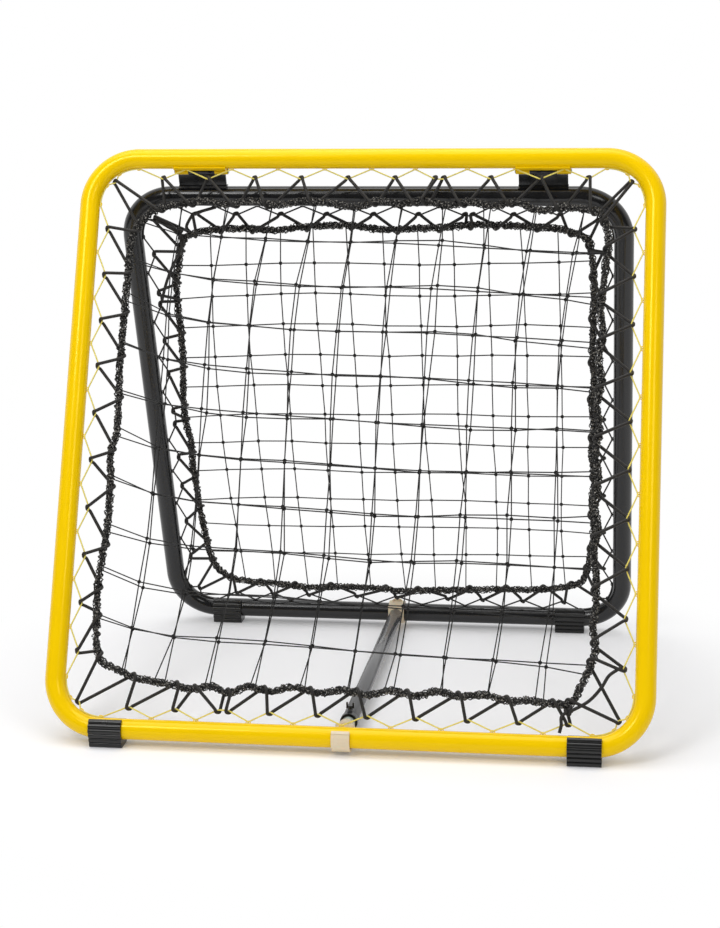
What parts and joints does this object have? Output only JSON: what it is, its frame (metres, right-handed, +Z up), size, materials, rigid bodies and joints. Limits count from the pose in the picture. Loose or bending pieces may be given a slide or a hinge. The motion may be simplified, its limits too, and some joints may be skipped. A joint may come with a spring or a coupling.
{
  "type": "multisport rebounder",
  "caption": "Folding two-frame ball rebounder: laced nets in hinged round-cornered tube frames, with a stay bar across the floor and rubber feet.",
  "frame": {"origin": "on the floor, midway between the bottom tubes and midway across the width", "axes": "+Z up, +X along the frame tubes to the right as seen from the front, +Y from the tall front frame to the rear frame"},
  "size_m": [0.7454, 0.5464, 0.6984],
  "materials": {
    "yellow_powder_coat": "gloss powder coat",
    "black_powder_coat": "satin powder coat",
    "grey_powder_coat": "satin powder coat",
    "zinc_plated_steel": "bright zinc plate",
    "black_rubber": "moulded",
    "black_plastic": "moulded",
    "cream_nylon": "moulded",
    "black_cord": "braided cord",
    "yellow_cord": "twisted cord"
  },
  "bodies": {
    "front_frame": {"front_tube": "yellow_powder_coat", "front_foot_left": "black_rubber", "front_foot_right": "black_rubber", "front_hinge_leaf_left": "yellow_powder_coat", "front_hinge_leaf_right": "yellow_powder_coat", "hinge_pin_left": "zinc_plated_steel", "hinge_pin_right": "zinc_plated_steel", "front_lace": "yellow_cord", "front_bungee": "black_cord", "front_border_rope": "black_cord", "front_net": "black_cord"},
    "back_frame": {"back_tube": "black_powder_coat", "back_foot_left": "black_rubber", "back_foot_right": "black_rubber", "back_hinge_leaf_left": "black_powder_coat", "back_hinge_leaf_right": "black_powder_coat", "back_lace": "black_cord", "back_bungee": "black_cord", "back_border_rope": "black_cord", "back_net": "black_cord"},
    "stay": {"stay_outer_tube": "grey_powder_coat", "stay_inner_tube": "zinc_plated_steel", "stay_collar": "black_plastic", "stay_rear_clip": "cream_nylon", "stay_front_clip": "cream_nylon"},
    "lock_screw": {"stay_lock_screw": "black_plastic"}
  },
  "joints": [
    {"name": "fold", "type": "hinge", "parent": "front_frame", "child": "back_frame", "pos_m": [0, 0.04488, 0.66951], "axis": [-1, 0, 0], "range_deg": [0, 40], "deforming": ["front_bungee", "front_border_rope"]},
    {"name": "stay_swing", "type": "hinge", "parent": "back_frame", "child": "stay", "pos_m": [0, 0.256, 0.0207], "axis": [1, 0, 0], "range_deg": [0, 108]},
    {"name": "lock_screw_turn", "type": "hinge", "parent": "stay", "child": "lock_screw", "pos_m": [0, -0.188, 0.0207], "axis": [0, 0, 1], "range_deg": [0, 360]}
  ],
  "couplings": [
    {"joint": "stay_swing", "follows": "fold", "ratio": 2.7}
  ]
}
